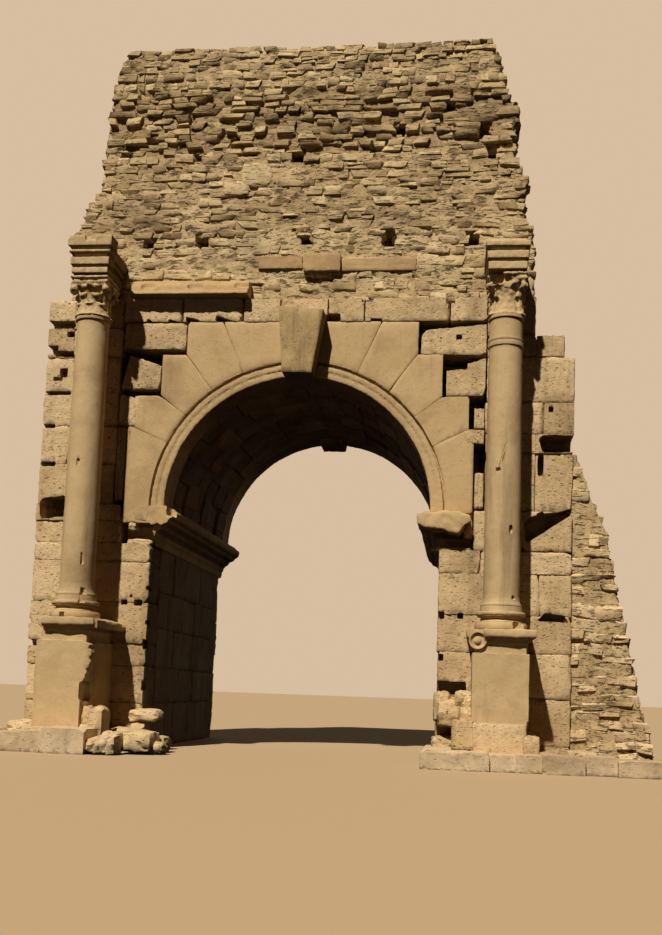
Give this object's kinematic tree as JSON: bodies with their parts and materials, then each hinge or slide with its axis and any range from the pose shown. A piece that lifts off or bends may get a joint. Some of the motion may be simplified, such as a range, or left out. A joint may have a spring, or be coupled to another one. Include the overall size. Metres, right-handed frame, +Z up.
{
  "type": "triumphal arch",
  "caption": "Ruined stone arch over a barrel-vaulted passage, with free columns on pedestals before the front face and a rough rubble attic.",
  "frame": {"origin": "under the middle of the whole ruin, on the level of the lowest footing", "axes": "+X to the right along the front face, +Y from the front face to the back, +Z up"},
  "size_m": [13.4, 7.86, 13.72],
  "materials": {
    "footing_stone": "rough, rounded by weather",
    "core_concrete": "bare rubble and mortar",
    "ashlar": "dressed travertine, pitted, open joints",
    "carved_travertine": "smooth dressed, moulded, stained",
    "vault_stone": "plain cut, soot-stained",
    "attic_rubble": "coursed rubble, eroded mortar",
    "column_marble": "worn marble, stained"
  },
  "bodies": {
    "root": {"left_footing": "footing_stone", "right_footing": "footing_stone", "left_core": "core_concrete", "left_front_ashlar": "ashlar", "left_back_ashlar": "ashlar", "left_passage_ashlar": "ashlar", "right_core": "core_concrete", "right_front_ashlar": "ashlar", "right_back_ashlar": "ashlar", "right_passage_ashlar": "ashlar", "right_rubble_wing": "core_concrete", "left_impost": "carved_travertine", "right_impost": "carved_travertine", "barrel_vault": "vault_stone", "spandrel_core": "core_concrete", "front_left_voussoirs": "carved_travertine", "front_right_voussoirs": "carved_travertine", "front_keystone": "carved_travertine", "back_left_voussoirs": "carved_travertine", "back_right_voussoirs": "carved_travertine", "back_keystone": "carved_travertine", "front_left_haunch": "ashlar", "front_right_haunch": "ashlar", "front_dressed_course": "ashlar", "back_dressed_course": "ashlar", "cornice_slab": "carved_travertine", "stub_slab": "carved_travertine", "attic_lower_lift": "attic_rubble", "attic_middle_lift": "attic_rubble", "attic_upper_lift": "attic_rubble", "attic_top_lift": "attic_rubble", "left_pedestal": "column_marble", "left_pedestal_slab": "column_marble", "left_column_base": "column_marble", "left_shaft": "column_marble", "left_capital": "column_marble", "left_entablature_block": "column_marble", "right_pedestal": "column_marble", "right_pedestal_slab": "column_marble", "right_column_base": "column_marble", "right_shaft": "column_marble", "right_capital": "column_marble", "right_entablature_block": "column_marble", "right_shaft_drum": "column_marble"}
  },
  "joints": []
}
